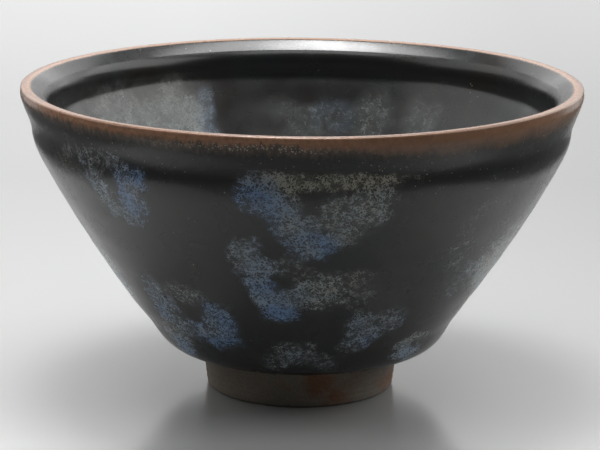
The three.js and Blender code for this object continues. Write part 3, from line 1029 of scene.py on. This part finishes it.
def splashed_ground(tree, where, height, slip, blueness, melted):
    """The black ground under the net of crystals and the haze between its threads: (colour, thread share)."""
    ground = black_ground(tree, where)
    crystals = crystal_colour(tree, where, height, blueness, melted)
    net = crystal_net(tree, where, slip)
    crisp = add(tree, "MapRange", {0: melted, 3: THREAD_COVER, 4: 0.0})
    thread_share = add(tree, "Math", {0: net, 1: crisp}, operation="MULTIPLY")
    cloudy = add(tree, "TexNoise", {"Vector": where, "Scale": 1 / CLOUD_SIZE, "Detail": 3})
    cloudy = add(tree, "MapRange", {0: cloudy, 1: 0.3, 2: 0.7, 3: 0.5, 4: 1.2})
    haze = add(tree, "MapRange", {0: melted, 3: HAZE_CRISP, 4: HAZE_MELTED})
    haze = add(tree, "Math", {0: haze, 1: cloudy}, operation="MULTIPLY")
    haze = add(tree, "Math", {0: haze, 1: slip}, operation="MULTIPLY")
    hazy = add(tree, "Mix", {0: haze, 6: ground, 7: crystals}, data_type="RGBA")
    return add(tree, "Mix", {0: thread_share, 6: hazy, 7: crystals}, data_type="RGBA"), thread_share


print(f"threads cover {THREAD_COVER:.0%} of what lies under them")

# %% Gloss and relief
SATIN = (0.22, 0.3)
CRYSTAL_DULLING = 0.08
BROWN_DULLING = 0.01
GLOSS_PATCH_SIZE = 7 * MM
# How wide the orange peel and the frosted skin of the lip are, and how high they and the threads stand up.
PEEL_SIZE, PEEL_RELIEF = 1.6 * MM, 0.01 * MM
FROST_SIZE, FROST_RELIEF = 0.4 * MM, 0.03 * MM
THREAD_RELIEF = 0.008 * MM


def glaze_roughness(tree, where, thread_share, brown_share):
    """Satin, in patches, and duller on the crystals and over the lip."""
    clouds = add(tree, "TexNoise", {"Vector": where, "Scale": 1 / GLOSS_PATCH_SIZE, "Detail": 3})
    gloss = add(tree, "MapRange", {0: clouds, 1: 0.3, 2: 0.7, 3: SATIN[0], 4: SATIN[1]})
    gloss = add(tree, "Math", {0: thread_share, 1: CRYSTAL_DULLING, 2: gloss}, operation="MULTIPLY_ADD")
    return add(tree, "Math", {0: brown_share, 1: BROWN_DULLING, 2: gloss}, operation="MULTIPLY_ADD")


def glaze_relief(tree, where, thread_share, brown_share):
    """Orange peel all over, threads that stand up a little, and a frosted skin, strongest on the lip."""
    peel = add(tree, "TexNoise", {"Vector": where, "Scale": 1 / PEEL_SIZE, "Detail": 1})
    relief = add(tree, "Bump", {"Strength": 1, "Distance": PEEL_RELIEF, "Height": peel.outputs["Fac"]})
    relief = add(tree, "Bump", {
        "Strength": 1, "Distance": THREAD_RELIEF, "Height": thread_share, "Normal": relief,
    })
    frost = add(tree, "TexNoise", {"Vector": where, "Scale": 1 / FROST_SIZE, "Detail": 2})
    rougher = add(tree, "MapRange", {0: brown_share, 3: 0.3, 4: 1.0})
    frost = add(tree, "Math", {0: frost, 1: rougher}, operation="MULTIPLY")
    return add(tree, "Bump", {"Strength": 1, "Distance": FROST_RELIEF, "Height": frost, "Normal": relief})


print(f"orange peel {PEEL_SIZE / MM:.1f} mm wide")

# %% Tenmoku recipe
GLAZE_IOR = 1.57


def tenmoku(name):
    """The iron glaze, thick and black with splashes on the wall, thin and brown over the lip."""
    material, tree, shader = new_material(name)
    where = add(tree, "TexCoord").outputs["Object"]
    height = add(tree, "SeparateXYZ", {0: where}).outputs["Z"]
    slip, blueness, melted, lip_mark, soft, specky = (
        add(tree, "Attribute", attribute_name=painted).outputs["Fac"]
        for painted in ("slip", "blueness", "melted", "lip_mark", "lip_soft", "specky")
    )

    splashed, thread_share = splashed_ground(tree, where, height, slip, blueness, melted)
    specks = speck_share(tree, where, specky)
    specked = add(tree, "Mix", {0: specks, 6: splashed, 7: colour("#bdb8a8")}, data_type="RGBA")
    final, brown_share = lip_colour(tree, where, lip_mark, soft, specked)
    tree.links.new(final.outputs[2], shader.inputs["Base Color"])

    gloss = glaze_roughness(tree, where, thread_share, brown_share)
    tree.links.new(gloss.outputs[0], shader.inputs["Roughness"])
    shader.inputs["IOR"].default_value = GLAZE_IOR

    relief = glaze_relief(tree, where, thread_share, brown_share)
    tree.links.new(relief.outputs[0], shader.inputs["Normal"])
    print(f"{name}: {len(tree.nodes)} nodes")
    return material


black_glaze = tenmoku("tenmoku_glaze_thick")
rust_glaze = tenmoku("tenmoku_glaze_thin_over_lip")

# %% [markdown]
# ## Bare stoneware
#
# The foot is the clay itself, an iron-rich stoneware fired in a smoky kiln. It is matte and grey-brown, with
# rusty flushes where air reached it, and its fine grit shows as a grain of about a third of a millimetre.
# The grit could be modelled, but it is finer than the mesh, so it is in the colour and in the bump.

# %% Stoneware
GRIT_SIZE = 0.35 * MM
GRIT_RELIEF = 0.06 * MM
FLUSH_SIZE = 8 * MM
CLAY_ROUGHNESS = 0.82

stoneware, tree, shader = new_material("iron_stoneware_bare")
where = add(tree, "TexCoord").outputs["Object"]
flush = add(tree, "TexNoise", {"Vector": where, "Scale": 1 / FLUSH_SIZE, "Detail": 4})
flush_share = add(tree, "MapRange", {0: flush, 1: 0.5, 2: 0.68})
body = add(tree, "Mix", {0: flush_share, 6: colour("#877f74"), 7: colour("#87624d")}, data_type="RGBA")
grit = add(tree, "TexVoronoi", {"Vector": where, "Scale": 1 / GRIT_SIZE})
grit_share = add(tree, "MapRange", {0: grit, 1: 0.0, 2: 0.7, 3: 0.75, 4: 1.15})
grained = add(tree, "VectorMath", {0: body.outputs[2], "Scale": grit_share}, operation="SCALE")
tree.links.new(grained.outputs[0], shader.inputs["Base Color"])
shader.inputs["Roughness"].default_value = CLAY_ROUGHNESS
grain = add(tree, "TexNoise", {"Vector": where, "Scale": 1 / GRIT_SIZE, "Detail": 3})
relief = add(tree, "Bump", {"Strength": 1, "Distance": GRIT_RELIEF, "Height": grain.outputs["Fac"]})
tree.links.new(relief.outputs[0], shader.inputs["Normal"])
print(f"grit {GRIT_SIZE / MM:.2f} mm wide")

# %% Finishes on the pieces
FINISHES = (
    (clay_body, "clay_body", stoneware, "stoneware"),
    (outer_glaze, "outer_glaze", black_glaze, "black_glaze"),
    (lip_glaze, "lip_glaze", rust_glaze, "brown_glaze"),
    (inner_glaze, "inner_glaze", black_glaze, "black_glaze"),
)
for piece, node, finish, slot_name in FINISHES:
    piece.data.materials.append(finish)
    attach(piece, "root")
    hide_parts(node)
    print(f"{piece.name} stands for {node}")
